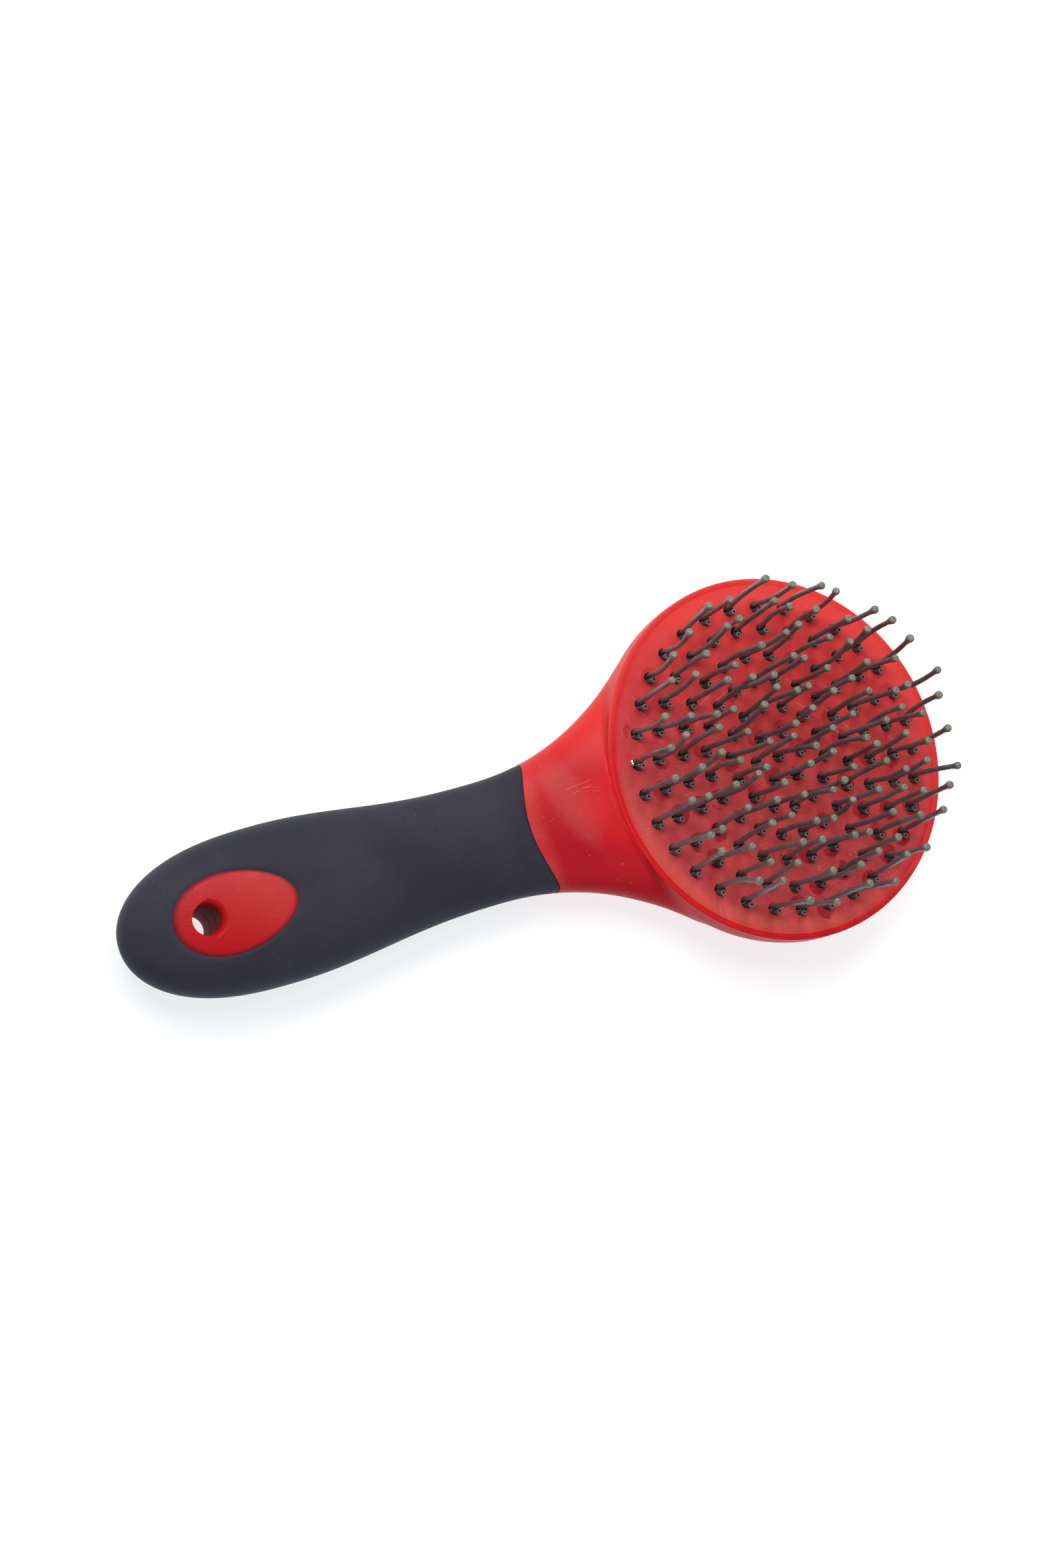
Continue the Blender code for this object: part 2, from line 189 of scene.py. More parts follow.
def section(reach, inset):
    """The handle's half width, middle height and half thickness, this far from the head's middle."""
    at = min(reach, belly_reach)
    if at < flare_reach:
        width = math.sqrt((head_radius - neck_setback) ** 2 - at**2)
    elif at < waist_reach:
        flare = ((waist_reach - at) / (waist_reach - flare_reach)) ** flare_power
        width = waist_half_width + flare_growth * flare
    else:
        swell = ease((at - waist_reach) / (belly_reach - waist_reach)) ** swell_power
        width = mix(waist_half_width, belly_half_width, swell)
    if at < waist_reach:
        share = (waist_reach - at) / (waist_reach - head_radius)
        saddle = neck_saddle * math.sin(math.pi * min(share, 1.0)) ** 2
        bottom = mix(waist_mid - waist_thickness / 2, neck_back_rise, ease(share))
        top = mix(waist_mid + waist_thickness / 2, head_depth - neck_top_drop, ease(share)) - saddle
    else:
        share = ease((at - waist_reach) / (belly_reach - waist_reach))
        middle = mix(waist_mid, belly_mid, share)
        bottom = middle - mix(waist_thickness, belly_thickness, share) / 2
        top = middle + mix(waist_thickness, belly_thickness, share) / 2
    width -= inset
    half = (top - bottom) / 2 - inset
    if reach > belly_reach:
        share = min((reach - belly_reach) / (butt_reach - inset - belly_reach), 1.0)
        width *= math.sqrt(1 - share**butt_power)
        half *= math.sqrt(1 - share**butt_power)
    return width, (top + bottom) / 2, half


def handle_point(reach, angle, inset=0.0):
    width, middle, half = section(reach, inset)
    across, rise = math.cos(angle), math.sin(angle)
    across = math.copysign(abs(across) ** (2 / section_power), across)
    rise = math.copysign(abs(rise) ** (2 / section_power), rise)
    return Vector((-reach, width * across, middle + half * rise))


def grid_solid(name, rings, first_pole=None, last_pole=None):
    """Rings of points joined by quads, each end closed by a point or by one flat face."""
    count = len(rings[0])
    points = [point for ring in rings for point in ring]
    faces = []
    for row in range(len(rings) - 1):
        for i in range(count):
            a, b = row * count + i, row * count + (i + 1) % count
            faces.append((a, b, b + count, a + count))
    for pole, row, flip in ((first_pole, 0, True), (last_pole, len(rings) - 1, False)):
        around = [row * count + i for i in range(count)]
        if pole is None:
            faces.append(tuple(around[::-1] if flip else around))
            continue
        points.append(pole)
        tip = len(points) - 1
        for i in range(count):
            pair = (around[i], around[(i + 1) % count])
            faces.append((pair[1], pair[0], tip) if flip else (pair[0], pair[1], tip))
    mesh = bpy.data.meshes.new(name)
    mesh.from_pydata([tuple(point) for point in points], [], faces)
    shape = bmesh.new()
    shape.from_mesh(mesh)
    bmesh.ops.recalc_face_normals(shape, faces=shape.faces)
    shape.to_mesh(mesh)
    shape.free()
    piece = bpy.data.objects.new(name, mesh)
    bpy.context.scene.collection.objects.link(piece)
    return piece


def handle_solid(name, start, inset, step, around):
    """The handle's outer form from a distance out to the butt, every face moved in by the inset."""
    end = butt_reach - inset
    rows = max(8, round((belly_reach - start) / step))
    reaches = [mix(start, belly_reach, i / rows) for i in range(rows)]
    caps = max(10, round(1.4 * (end - belly_reach) / step))
    reaches += [mix(belly_reach, end, math.sin(math.pi / 2 * i / caps)) for i in range(caps)]
    turn = [2 * math.pi * i / around for i in range(around)]
    rings = [[handle_point(reach, angle, inset) for angle in turn] for reach in reaches]
    return grid_solid(name, rings, last_pole=Vector((-end, 0, belly_mid)))


def turned(name, profile, steps):
    """A solid turned about Z from (radius, height) pairs. It starts and ends on the axis."""
    rings = []
    for radius, height in profile[1:-1]:
        turn = [2 * math.pi * i / steps for i in range(steps)]
        rings.append([Vector((radius * math.cos(a), radius * math.sin(a), height)) for a in turn])
    return grid_solid(name, rings, Vector((0, 0, profile[0][1])), Vector((0, 0, profile[-1][1])))


def arc(center, radii, start, end, count):
    """Points on part of an ellipse, from one angle to the other in degrees."""
    points = []
    for i in range(count + 1):
        angle = math.radians(mix(start, end, i / count))
        across = center[0] + radii[0] * math.cos(angle)
        points.append((across, center[1] + radii[1] * math.sin(angle)))
    return points


def smooth(mesh, sharp=40):
    """Smooth shading, except at edges that turn by more than this many degrees."""
    mesh.shade_smooth()
    mesh.set_sharp_from_angle(angle=math.radians(sharp))


def note(mesh, name, values):
    """Keeps a number for each point of the mesh, for its material to read."""
    mesh.attributes.new(name, "FLOAT", "POINT").data.foreach_set("value", values)


def settle(piece):
    """Puts the result of a piece's modifiers into its mesh."""
    bpy.context.view_layer.update()
    graph = bpy.context.evaluated_depsgraph_get()
    mesh = bpy.data.meshes.new_from_object(piece.evaluated_get(graph))
    piece.modifiers.clear()
    piece.data = mesh


def carve(piece, operation, other):
    cut = piece.modifiers.new("carve", "BOOLEAN")
    cut.operation = operation
    cut.object = other
    settle(piece)
    bpy.data.objects.remove(other, do_unlink=True)


def prism(name, outline, low, high):
    rings = [[Vector((x, y, z)) for x, y in outline] for z in (low, high)]
    return grid_solid(name, rings)


def grip_zone(name, growth):
    """Everything behind the grip's front edge, which is a round nose when seen from the side."""
    center = -(grip_front_reach + grip_nose_length)
    radii = (grip_nose_length + growth, grip_nose_height + growth)
    nose = arc((center, waist_mid), radii, -90, 90, 48)
    outline = [(-0.2, -0.02), (center, -0.02)] + nose + [(center, 0.04), (-0.2, 0.04)]
    rings = [[Vector((x, y, z)) for x, z in outline] for y in (-0.05, 0.05)]
    return grid_solid(name, rings)


blank_top = head_depth + blank_allowance
bowl_profile = [(0, blank_top), (head_radius, blank_top)]
bowl_radii = (head_radius - back_flat_radius, wall_base)
bowl_profile += arc((back_flat_radius, wall_base), bowl_radii, 0, -90, 28)
bowl_profile += [(back_flat_radius / 2, 0), (0, 0)]
bowl = turned("bowl_form", bowl_profile, head_steps)
neck = handle_solid("neck_form", start=neck_start, inset=0.0, step=0.0008, around=160)
smooth_forms = []
for form in (bowl, neck):
    shape = bmesh.new()
    shape.from_mesh(form.data)
    bmesh.ops.triangulate(shape, faces=shape.faces)
    smooth_forms.append(BVHTree.FromBMesh(shape))
    shape.free()
behind_neck = [(-0.2, -0.05), (-neck_end, -0.05), (-neck_end, 0.05), (-0.2, 0.05)]
carve(neck, "DIFFERENCE", prism("behind_neck", behind_neck, low=-0.02, high=0.04))
head = bowl
carve(head, "UNION", neck)
voxels = head.modifiers.new("voxels", "REMESH")
voxels.mode = "VOXEL"
voxels.voxel_size = head_voxel
settle(head)

# The neck runs into the bowl with a fillet: near the line where they meet the surface is relaxed,
# and everywhere else it lies exactly on the bowl or the neck.
every_axis = {"use_axis_x": True, "use_axis_y": True, "use_axis_z": True}
shape = bmesh.new()
shape.from_mesh(head.data)
for _ in range(fillet_passes):
    bmesh.ops.smooth_vert(shape, verts=shape.verts, factor=0.5, **every_axis)
for vertex in shape.verts:
    found = [form.find_nearest(vertex.co) for form in smooth_forms]
    nearest = min(found, key=lambda hit: hit[3])
    apart = max(hit[3] for hit in found)
    near_top = ease((vertex.co.z - fillet_top) / fillet_top_fade)
    hold = max(ease((apart - fillet_core) / fillet_fade), near_top)
    vertex.co = vertex.co.lerp(nearest[0], hold)
for _ in range(last_passes):
    bmesh.ops.smooth_vert(shape, verts=shape.verts, factor=0.5, **every_axis)
shape.to_mesh(head.data)
shape.free()

# The rim is turned: a round edge, then the recess for the face plate and the hollow behind it.
recess_radius = head_radius - rim_band
shoulder = (head_radius - rim_round, head_depth + rim_bead - rim_rise)
ring = [(0, tool_reach), (tool_reach, tool_reach), (tool_reach, skirt_height)]
ring += [(head_radius + skirt_width, shoulder[1] + skirt_rise)]
ring += arc(shoulder, (rim_round, rim_rise), 0, 90, 8)
inner_edge = (recess_radius + rim_inner_round, head_depth)
ring += arc(inner_edge, (rim_inner_round, rim_bead), 90, 180, 6)
ledge_height = plate_low.z - ledge_drop
ring += [(recess_radius, ledge_height), (recess_radius - ledge_width, ledge_height)]
ring += [(hollow_radius, hollow_floor), (0, hollow_floor)]
carve(head, "DIFFERENCE", turned("rim_tool", ring, head_steps))
carve(head, "DIFFERENCE", grip_zone("grip_seat", grip_seat_gap))
head.name = "head_and_neck"


def nose_gap(point):
    """Rough distance ahead of the grip's front edge, in metres, and below 0 behind it."""
    ahead = (point.x + grip_front_reach + grip_nose_length) / grip_nose_length
    above = (point.z - waist_mid) / grip_nose_height
    return (math.hypot(ahead, above) - 1) * grip_nose_height


note(head.data, "grip_gap", [nose_gap(vertex.co) for vertex in head.data.vertices])
smooth(head.data)


class Value:
    """A number in a material. Sums and products of values add Math nodes."""

    def __init__(self, finish, socket):
        self.finish = finish
        self.socket = socket

    def math(self, operation, *terms):
        return self.finish.node("Math", {"operation": operation}, dict(enumerate(terms)))

    def __add__(self, other):
        return self.math("ADD", self, other)

    def __sub__(self, other):
        return self.math("SUBTRACT", self, other)

    def __rsub__(self, other):
        return self.math("SUBTRACT", other, self)

    def __mul__(self, other):
        return self.math("MULTIPLY", self, other)

    def __neg__(self):
        return 0 - self

    __radd__ = __add__

    def between(self, low, high):
        """0 below low, 1 above high, eased in the middle."""
        settings = {"interpolation_type": "SMOOTHSTEP"}
        sockets = {"Value": self, "From Min": low, "From Max": high}
        return self.finish.node("MapRange", settings, sockets)


class Finish:
    """A material that is built up node by node on a Principled shader."""

    def __init__(self, name, **constants):
        self.material = bpy.data.materials.new(name)
        self.material.use_nodes = True
        self.tree = self.material.node_tree
        self.shader = self.tree.nodes["Principled BSDF"]
        for socket, value in constants.items():
            self.shader.inputs[socket.replace("_", " ")].default_value = value
        self.place = self.node("TexCoord", {}, {}, "Object")

    def feed(self, socket, value):
        if isinstance(value, Value):
            self.tree.links.new(value.socket, socket)
        else:
            socket.default_value = value

    def node(self, kind, settings, sockets, output=0):
        made = self.tree.nodes.new("ShaderNode" + kind)
        for name, value in settings.items():
            setattr(made, name, value)
        for name, value in sockets.items():
            self.feed(made.inputs[name], value)
        return Value(self, made.outputs[output])

    def blend(self, share, first, second):
        """Mixes two colours."""
        return self.node("Mix", {"data_type": "RGBA"}, {0: share, 6: first, 7: second}, 2)

    def grain(self, size, detail=2.0, stretch=(1, 1, 1), turn=(0, 0, 0), roughness=0.5):
        """Noise whose lumps are about this size in metres."""
        sockets = {"Vector": self.place, "Rotation": turn, "Scale": stretch}
        place = self.node("Mapping", {}, sockets)
        sockets = {"Vector": place, "Scale": 1 / size, "Detail": detail, "Roughness": roughness}
        return self.node("TexNoise", {}, sockets)

    def relief(self, height, depth):
        """A bump as deep as this in metres where the height goes from 0 to 1."""
        sockets = {"Height": height, "Distance": depth, "Strength": 1.0}
        return self.node("Bump", {}, sockets)

    def noted(self, name):
        """The number that was noted for each point under this name."""
        return self.node("Attribute", {"attribute_name": name}, {}, "Fac")

    def axis(self, number):
        return self.node("SeparateXYZ", {}, {0: self.place}, number)

    def radius(self, center=(0, 0, 0)):
        """Distance from an upright axis."""
        apart = self.node("VectorMath", {"operation": "SUBTRACT"}, {0: self.place, 1: center})
        flat = self.node("VectorMath", {"operation": "MULTIPLY"}, {0: apart, 1: (1, 1, 0)})
        return self.node("VectorMath", {"operation": "LENGTH"}, {0: flat}, 1)

    def use(self, **links):
        for socket, value in links.items():
            self.feed(self.shader.inputs[socket.replace("_", " ")], value)
        return self.material


def oval_place(finish, center, turn, length, width):
    """Distances along and across an oval of this size, each from -1 to 1 inside it."""
    sockets = {"Location": center, "Rotation": (0, 0, turn), "Scale": (length / 2, width / 2, 1)}
    local = finish.node("Mapping", {"vector_type": "TEXTURE"}, {"Vector": finish.place} | sockets)
    return [finish.node("SeparateXYZ", {}, {0: local}, number) for number in (0, 1)]


def soft_patch(finish, center, turn, length, width):
    """1 at the middle of an oval, fading to 0 at its edge."""
    along, across = oval_place(finish, center, turn, length, width)
    return (1 - along * along - across * across).between(0.0, 1.0)


def scratches(finish, center, turn, length, width, count):
    """A bundle of fine broken lines side by side, as one knock or rub leaves them."""
    along, across = oval_place(finish, center, turn, length, width)
    fan = across * (1 + along * 0.25) + along * along * 0.12
    crest = finish.node("Math", {"operation": "SINE"}, {0: fan * (math.pi * count)})
    inside = (1 - along * along).between(0.0, 0.35) * (1 - across * across).between(0.0, 0.30)
    broken = finish.grain(0.0022, detail=2.0).between(0.40, 0.52)
    return crest.between(0.86, 0.98) * inside * broken


red_moulding = Finish("red_moulding", IOR=1.49, Specular_IOR_Level=0.11)
deep_red = (0.47, 0.008, 0.016, 1)
bright_red = (0.57, 0.014, 0.021, 1)
lit_red = (0.73, 0.044, 0.040, 1)
shade_red = (0.34, 0.004, 0.012, 1)
highlight_red = (0.58, 0.085, 0.080, 1)
handled_red = (0.60, 0.075, 0.070, 1)
rim_red = (0.66, 0.012, 0.016, 1)
dust_pink = (0.78, 0.30, 0.28, 1)
scratch_pink = (0.78, 0.20, 0.19, 1)

cloud = red_moulding.grain(0.016, detail=2.0).between(0.30, 0.72)
dusty = red_moulding.grain(0.007).between(0.46, 0.58)
speck = red_moulding.grain(0.0005, detail=0.0).between(0.80, 0.84) * dusty
rubbed = (
    scratches(red_moulding, (-0.0498, 0.0061, 0), 0.10, 0.0072, 0.0024, 2)
    + scratches(red_moulding, (-0.0475, 0.0048, 0), -0.25, 0.0045, 0.0016, 2)
    + scratches(red_moulding, (-0.0503, -0.0054, 0), 0.05, 0.0042, 0.0018, 4)
)
# Painted shade darkens the middle of the neck and a painted highlight runs pale along it; by the
# grip the neck is rubbed paler.
to_grip = red_moulding.noted("grip_gap")
handled = 1 - to_grip.between(0.0002, 0.0024)
handled = handled * (red_moulding.grain(0.0035, detail=4.0).between(0.25, 0.7) * 0.4 + 0.6)
neck_shade = soft_patch(red_moulding, (-0.0530, -0.0020, 0), -1.29, 0.0340, 0.0320)
# Painted highlight: a pale band along the middle of the neck, with some grain in it.
neck_highlight = soft_patch(red_moulding, (-0.0530, 0.0038, 0), -1.29, 0.0300, 0.0110)
neck_highlight = neck_highlight * (red_moulding.grain(0.0007, detail=3.0).between(0.25, 0.75) * 0.35 + 0.65)
on_rim = red_moulding.radius().between(0.0402, 0.0410)
rim = on_rim * red_moulding.axis(2).between(0.0148, 0.0158)
# Painted light: the moulding is lighter and more orange towards +Y and +X, the side the light falls
# on.
lit_toward_y = red_moulding.axis(1).between(0.004, 0.022)
painted_lit_side = lit_toward_y + red_moulding.axis(0).between(0.000, 0.030)

red_tone = red_moulding.blend(cloud, deep_red, bright_red)
red_tone = red_moulding.blend(painted_lit_side * 0.80, red_tone, lit_red)
red_tone = red_moulding.blend(neck_shade * 0.42, red_tone, shade_red)
red_tone = red_moulding.blend(neck_highlight * 0.46, red_tone, highlight_red)
red_tone = red_moulding.blend(handled * 0.48, red_tone, handled_red)
red_tone = red_moulding.blend(rim * (1 - painted_lit_side) * 0.7, red_tone, rim_red)
red_tone = red_moulding.blend(speck * 0.30, red_tone, dust_pink)
red_tone = red_moulding.blend(rubbed * 0.50, red_tone, scratch_pink)
peel = red_moulding.grain(0.0016, detail=3.0)
red_sheen = red_moulding.grain(0.006, detail=3.0) * 0.10 + 0.33 + rubbed * 0.2 - rim * 0.08
head.data.materials.append(
    red_moulding.use(
        Base_Color=red_tone,
        Roughness=red_sheen,
        Normal=red_moulding.relief(peel * 0.6 - rubbed * 0.9, 0.00004),
    )
)
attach(head, "root")
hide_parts("handle_body")

# ---------------------------------------------------------------------------------------------
# Handle core. The same moulding goes on inside the grip. It comes out again as an oval boss on each
# side, flush with the rubber, with the hang hole through its butt end in a well-rounded mouth.

grip_wall = 0.0022
window_reach = 0.1346
window_half_length = 0.0134
window_half_width = 0.0086
window_bluntness = 0.13
hole_reach = 0.1410
hole_radius = 0.0031
mouth_round = 0.0018
bore_end_margin = 0.0001
bore_tool_margin = 0.004
bore_tool_top = 0.04
bore_tool_bottom = -0.02
lip_reach = 0.0009
lip_depth = 0.00030
boss_gap = 0.00003


def oval(grow, count):
    """The window's outline: an egg, a little blunter towards the butt."""
    points = []
    for i in range(count):
        angle = 2 * math.pi * i / count
        along = (window_half_length + grow) * math.cos(angle)
        width = (window_half_width + grow) * (1 - window_bluntness * math.cos(angle))
        points.append((-window_reach + along, width * math.sin(angle)))
    return points


def window_gap(point):
    """Rough distance from the window's outline, in metres."""
    x = (point.x + window_reach) / window_half_length
    y = point.y / (window_half_width * (1 - window_bluntness * max(-1.0, min(1.0, x))))
    return abs(math.hypot(x, y) - 1) * window_half_width


core_inset = grip_wall + boss_gap
core = handle_solid("handle_core", start=0.058, inset=core_inset, step=0.0030, around=48)
boss = handle_solid("boss_form", start=0.110, inset=0.0, step=0.0004, around=220)
carve(boss, "INTERSECT", prism("window_cut", oval(-boss_gap, 120), low=-0.01, high=0.03))
for vertex in boss.data.vertices:
    _, middle, half = section(-vertex.co.x, 0.0)
    lip = max(0.0, 1 - window_gap(vertex.co) / lip_reach)
    vertex.co.z -= math.copysign(lip_depth * lip**2, vertex.co.z - middle)
carve(core, "UNION", boss)
_, hole_middle, hole_half = section(hole_reach, 0.0)
bore_tool_reach = hole_radius + mouth_round + bore_tool_margin
bore = [(0, bore_tool_top), (bore_tool_reach, bore_tool_top)]
for side in (1, -1):
    mouth_height = hole_middle + side * (hole_half - mouth_round + bore_end_margin)
    mouth_center = (hole_radius + mouth_round, mouth_height)
    mouth = arc(mouth_center, (mouth_round, side * mouth_round), 90, 180, 10)
    bore += mouth if side > 0 else mouth[::-1]
bore += [(bore_tool_reach, bore_tool_bottom), (0, bore_tool_bottom)]
bore_tool = turned("bore_tool", bore, 72)
bore_tool.data.transform(Matrix.Translation((-hole_reach, 0, 0)))
# The mouth follows the crown of the boss, so that it is equally round all the way about.
for vertex in bore_tool.data.vertices:
    width, _, half = section(-vertex.co.x, 0.0)
    crown = half * max(0.0, 1 - (abs(vertex.co.y) / width) ** section_power) ** (1 / section_power)
    vertex.co.z += math.copysign(crown - hole_half, vertex.co.z - hole_middle)
carve(core, "DIFFERENCE", bore_tool)
smooth(core.data)
note(core.data, "edge_gap", [window_gap(vertex.co) for vertex in core.data.vertices])

boss_red = Finish("boss_red", IOR=1.49, Specular_IOR_Level=0.14)
boss_deep = (0.47, 0.006, 0.011, 1)
boss_lit = (0.53, 0.034, 0.036, 1)
boss_worn = (0.40, 0.012, 0.016, 1)
mouth_red = (0.50, 0.008, 0.010, 1)
edge_shade_red = (0.120, 0.012, 0.018, 1)
bore_shade_brown = (0.12, 0.026, 0.026, 1)

# Painted shade darkens the edge of the boss, where it meets the rubber, and the bore, which has
# uneven rings down its wall.
worn = boss_red.grain(0.0045, detail=3.0).between(0.30, 0.70)
pores = boss_red.grain(0.00045, detail=2.0)
edge_shade = 1 - boss_red.noted("edge_gap").between(0.0, 0.0010)
from_bore = boss_red.radius((-hole_reach, 0, 0))
mouth_shade = 1 - from_bore.between(hole_radius + 0.0002, hole_radius + 0.0022)
in_bore = 1 - from_bore.between(hole_radius + 0.00002, hole_radius + 0.00012)
uneven_rings = boss_red.axis(2) * 2300 + boss_red.grain(0.0040, detail=2.0) * 7
draw_rings = boss_red.node("Math", {"operation": "SINE"}, {0: uneven_rings}).between(0.1, 0.9)
# Painted light: the boss is paler towards the head and towards +Y, the way the light falls on it.
painted_lit_end = (boss_red.axis(0) + boss_red.axis(1) * 0.8).between(-0.142, -0.120)

boss_tone = boss_red.blend(painted_lit_end, boss_deep, boss_lit)
boss_tone = boss_red.blend(worn * 0.3, boss_tone, boss_worn)
boss_tone = boss_red.blend(mouth_shade * 0.4, boss_tone, mouth_red)
boss_tone = boss_red.blend(edge_shade * 0.75, boss_tone, edge_shade_red)
boss_tone = boss_red.blend(in_bore * (draw_rings * 0.4 + 0.45), boss_tone, bore_shade_brown)
core.data.materials.append(
    boss_red.use(
        Base_Color=boss_tone,
        Roughness=worn * 0.12 + 0.34 + in_bore * 0.25,
        Normal=boss_red.relief(pores * 1.3 + draw_rings * in_bore * 1.5, 0.00005),
    )
)
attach(core, "root")
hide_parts("handle_body")

# ---------------------------------------------------------------------------------------------
# Grip. Soft-touch thermoplastic rubber moulded over the core, 2.2 mm thick, dead matt and a little
# dusty. Its edges round over where they meet the red plastic.

grip_edge_gap = 0.00002
least_half = 0.0001

grip = handle_solid("grip_sleeve", start=0.054, inset=0.0, step=0.0006, around=200)
carve(grip, "INTERSECT", grip_zone("grip_extent", -grip_edge_gap))
carve(grip, "DIFFERENCE", prism("window_cut", oval(grip_edge_gap, 120), low=-0.01, high=0.03))
core_space = handle_solid("core_space", start=0.050, inset=grip_wall, step=0.0030, around=48)
carve(grip, "DIFFERENCE", core_space)
for vertex in grip.data.vertices:
    point = vertex.co
    width, middle, half = section(-point.x, 0.0)
    front = 1.0
    if point.x > -(grip_front_reach + grip_nose_length):
        front = abs(nose_gap(point))
    lip = max(0.0, 1 - min(front, window_gap(point)) / lip_reach)
    if lip > 0:
        across = -point.y / max(width, least_half)
        down = -(point.z - middle) / max(half, least_half)
        vertex.co += Vector((0, across, down)).normalized() * lip_depth * lip**2
smooth(grip.data)

navy_rubber = Finish(
    "navy_rubber",
    IOR=1.5,
    Specular_IOR_Level=0.20,
    Sheen_Weight=0.09,
    Sheen_Roughness=0.5,
    Sheen_Tint=(0.75, 0.86, 1.0, 1.0),
)
deep_navy = (0.0225, 0.0215, 0.0360, 1)
light_navy = (0.0315, 0.0300, 0.0480, 1)
dust_grey = (0.20, 0.20, 0.23, 1)
dirt_navy = (0.012, 0.012, 0.02, 1)

tone = navy_rubber.grain(0.020, detail=3.0).between(0.3, 0.7)
dusty = navy_rubber.grain(0.010).between(0.42, 0.62)
dust = navy_rubber.grain(0.00042, detail=0.0).between(0.765, 0.80) * dusty
dirt = navy_rubber.grain(0.0006, detail=0.0, turn=(1.0, 0.3, 0.2)).between(0.75, 0.79)
navy_tone = navy_rubber.blend(tone, deep_navy, light_navy)
navy_tone = navy_rubber.blend(dust * 0.16, navy_tone, dust_grey)
navy_tone = navy_rubber.blend(dirt * 0.4, navy_tone, dirt_navy)
skin = navy_rubber.grain(0.00022, detail=2.0)
grip.data.materials.append(
    navy_rubber.use(
        Base_Color=navy_tone,
        Roughness=navy_rubber.grain(0.009, detail=3.0) * 0.14 + 0.58,
        Normal=navy_rubber.relief(skin + dust * 0.6, 0.00003),
    )
)
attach(grip, "root")
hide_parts("soft_grip")

# ---------------------------------------------------------------------------------------------
# Face plate. A flat red disc let into the rim and drilled for the filaments. The drilled field is
# scuffed and dusty, and some holes have a darker round mark left by the filling machine.

# (ring radius, number of tufts, phase in steps from the handle's side)
tuft_rings = [
    (0.0356, 32, 0.0),
    (0.0303, 28, 0.0),
    (0.02405, 24, 0.0),
    (0.0182, 20, 0.0),
    (0.0120, 14, 0.5),
    (0.00593, 6, 0.0),
    (0.0, 1, 0.0),
]
drill_radius = 0.00141
drill_depth = 0.012
plate_gap = 0.00001
plate_radius = recess_radius - plate_gap
plate_center_radius = 0.0006
plate_cell = 0.0007
mark_count = 62
mark_stray = 0.0010
mark_radius = 0.00225
mark_edge = 0.00020


def ring_places(number):
    radius, count, phase = tuft_rings[number]
    turns = [math.pi + 2 * math.pi * (i + phase) / count for i in range(count)]
    return [Vector((radius * math.cos(a), radius * math.sin(a), 0.0)) for a in turns]


all_places = [place for number in range(len(tuft_rings)) for place in ring_places(number)]
edge = [(0, plate_high.z), (plate_center_radius, plate_high.z)]
edge += [(plate_cell * i, plate_high.z) for i in range(2, int(plate_radius / plate_cell))]
edge += [(plate_radius, plate_high.z), (plate_radius, plate_low.z)]
edge += [(plate_center_radius, plate_low.z), (0, plate_low.z)]
plate = turned("drilled_plate", edge, head_steps)
drills = bmesh.new()
for place in all_places:
    sizes = {"radius1": drill_radius, "radius2": drill_radius, "depth": drill_depth}
    made = bmesh.ops.create_cone(drills, cap_ends=True, segments=20, **sizes)["verts"]
    bmesh.ops.translate(drills, verts=made, vec=(place.x, place.y, plate_high.z))
drill_set = bpy.data.objects.new("drill_set", bpy.data.meshes.new("drill_set"))
drills.to_mesh(drill_set.data)
drills.free()
bpy.context.scene.collection.objects.link(drill_set)
carve(plate, "DIFFERENCE", drill_set)

marks = random.Random(31)
marked = []
for place in all_places:
    stray = Vector((marks.uniform(-1, 1), marks.uniform(-1, 1), 0)) * mark_stray
    marked.append(place + stray)
marked = marks.sample(marked, mark_count)


def mark_gap(point):
    """Distance from the middle of the nearest mark."""
    return min(math.hypot(point.x - spot.x, point.y - spot.y) for spot in marked)


note(plate.data, "mark_gap", [mark_gap(vertex.co) for vertex in plate.data.vertices])
smooth(plate.data)

red_plate = Finish("red_plate", IOR=1.49, Specular_IOR_Level=0.18)
plate_deep = (0.56, 0.015, 0.019, 1)
plate_bright = (0.66, 0.026, 0.027, 1)
lit_orange = (0.80, 0.046, 0.038, 1)
film_pink = (0.50, 0.080, 0.088, 1)
chalk_highlight_orange = (0.76, 0.105, 0.082, 1)
mark_red = (0.36, 0.010, 0.017, 1)
lint_pink = (0.80, 0.46, 0.42, 1)
scratch_pink = (0.78, 0.33, 0.32, 1)

# Dust lies as a film and lint on the drilled field, more of it towards -Y. The border has painted
# light, brighter towards +Y and +X, and on the other side, where the handle meets it, a pale orange
# stretch that is partly chalky dust and partly a painted highlight.
x, y = red_plate.axis(0), red_plate.axis(1)
spread = red_plate.radius()
dusty_side = (x * -0.35 - y).between(-0.036, 0.022)
field = (1 - spread.between(0.0396, 0.0410)) * (dusty_side * 0.65 + 0.35)
cloud = red_plate.grain(0.010, detail=4.0).between(0.30, 0.70)
mottle = red_plate.grain(0.0022, detail=6.0, roughness=0.65).between(0.25, 0.75)
film = field * (mottle * 0.55 + 0.45)
lint_cluster = red_plate.grain(0.005).between(0.48, 0.60)
lint = red_plate.grain(0.0003, detail=1.0, roughness=0.7).between(0.62, 0.72)
lint = lint * lint_cluster * field
near_mark = 1 - red_plate.noted("mark_gap").between(mark_radius, mark_radius + mark_edge)
worn_away = red_plate.grain(0.0045, detail=3.0, turn=(0.4, 0.1, 0.9)).between(0.36, 0.50)
mark = near_mark * worn_away * (dusty_side * 0.7 + 0.3)
